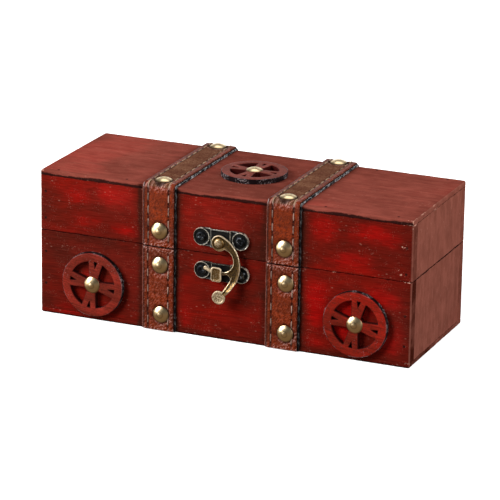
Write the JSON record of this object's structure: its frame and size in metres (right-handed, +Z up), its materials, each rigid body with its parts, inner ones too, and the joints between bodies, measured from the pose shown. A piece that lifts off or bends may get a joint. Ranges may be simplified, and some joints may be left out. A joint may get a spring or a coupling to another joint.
{
  "type": "jewelry chest",
  "caption": "Rectangular wooden jewelry chest with a hinged lid, leather straps held by brass tacks, wheel ornaments and a swing hook clasp.",
  "frame": {"origin": "middle of the chest's flat underside, where it rests", "axes": "+X along the chest to its right end, -Y out of the front with the clasp, +Z up"},
  "size_m": [0.225, 0.0969, 0.0897],
  "materials": {
    "stained_wood": "red-brown stained and waxed boards with dark burnt edges",
    "wheel_wood": "red stained thin board, cut edges burnt black",
    "strap_leather": "glossy tan-brown smooth leather with two stitched rows",
    "strap_backing": "black backing strip with worn grey specks",
    "tack_brass": "polished domed brass, slightly dull",
    "antique_bronze": "antique bronze, dark in the recesses and bright on worn rims",
    "screw_metal": "darkened cross-head screws",
    "hinge_brass": "aged brass",
    "iron_nails": "dark stained iron"
  },
  "bodies": {
    "chest": {"base_front_board": "stained_wood", "base_back_board": "stained_wood", "base_left_end": "stained_wood", "base_right_end": "stained_wood", "base_bottom_board": "stained_wood", "base_end_brads": "iron_nails", "base_bottom_brads": "iron_nails", "front_strap_left_leather": "strap_leather", "front_strap_left_backing": "strap_backing", "front_strap_right_leather": "strap_leather", "front_strap_right_backing": "strap_backing", "back_strap_left_leather": "strap_leather", "back_strap_left_backing": "strap_backing", "back_strap_right_leather": "strap_leather", "back_strap_right_backing": "strap_backing", "base_front_strap_tacks": "tack_brass", "base_back_strap_tacks": "tack_brass", "front_wheel_left": "wheel_wood", "front_wheel_right": "wheel_wood", "front_wheel_tacks": "tack_brass", "keeper_plate": "antique_bronze", "keeper_tab": "antique_bronze", "keeper_screws": "screw_metal", "hinge_left_lower_leaf": "hinge_brass", "hinge_right_lower_leaf": "hinge_brass", "hinge_left_pin": "hinge_brass", "hinge_right_pin": "hinge_brass", "hinge_lower_nails": "hinge_brass"},
    "lid": {"lid_front_board": "stained_wood", "lid_back_board": "stained_wood", "lid_left_end": "stained_wood", "lid_right_end": "stained_wood", "lid_top_board": "stained_wood", "lid_end_brads": "iron_nails", "lid_top_brads": "iron_nails", "lid_strap_left_leather": "strap_leather", "lid_strap_left_backing": "strap_backing", "lid_strap_right_leather": "strap_leather", "lid_strap_right_backing": "strap_backing", "lid_front_strap_tacks": "tack_brass", "lid_back_strap_tacks": "tack_brass", "lid_top_strap_tacks": "tack_brass", "lid_wheel": "wheel_wood", "lid_wheel_tack": "tack_brass", "latch_plate": "antique_bronze", "latch_screws": "screw_metal", "hook_rivet": "antique_bronze", "hinge_left_upper_leaf": "hinge_brass", "hinge_right_upper_leaf": "hinge_brass", "hinge_upper_nails": "hinge_brass"},
    "hook": {"swing_hook": "antique_bronze"}
  },
  "joints": [
    {"name": "lid_hinge", "type": "hinge", "parent": "chest", "child": "lid", "pos_m": [0, 0.0452, 0.04965], "axis": [-1, 0, 0], "range_deg": [0, 160]},
    {"name": "hook_pivot", "type": "hinge", "parent": "lid", "child": "hook", "pos_m": [-0.0002, -0.0458, 0.0576], "axis": [0, -1, 0], "range_deg": [0, 180]}
  ]
}
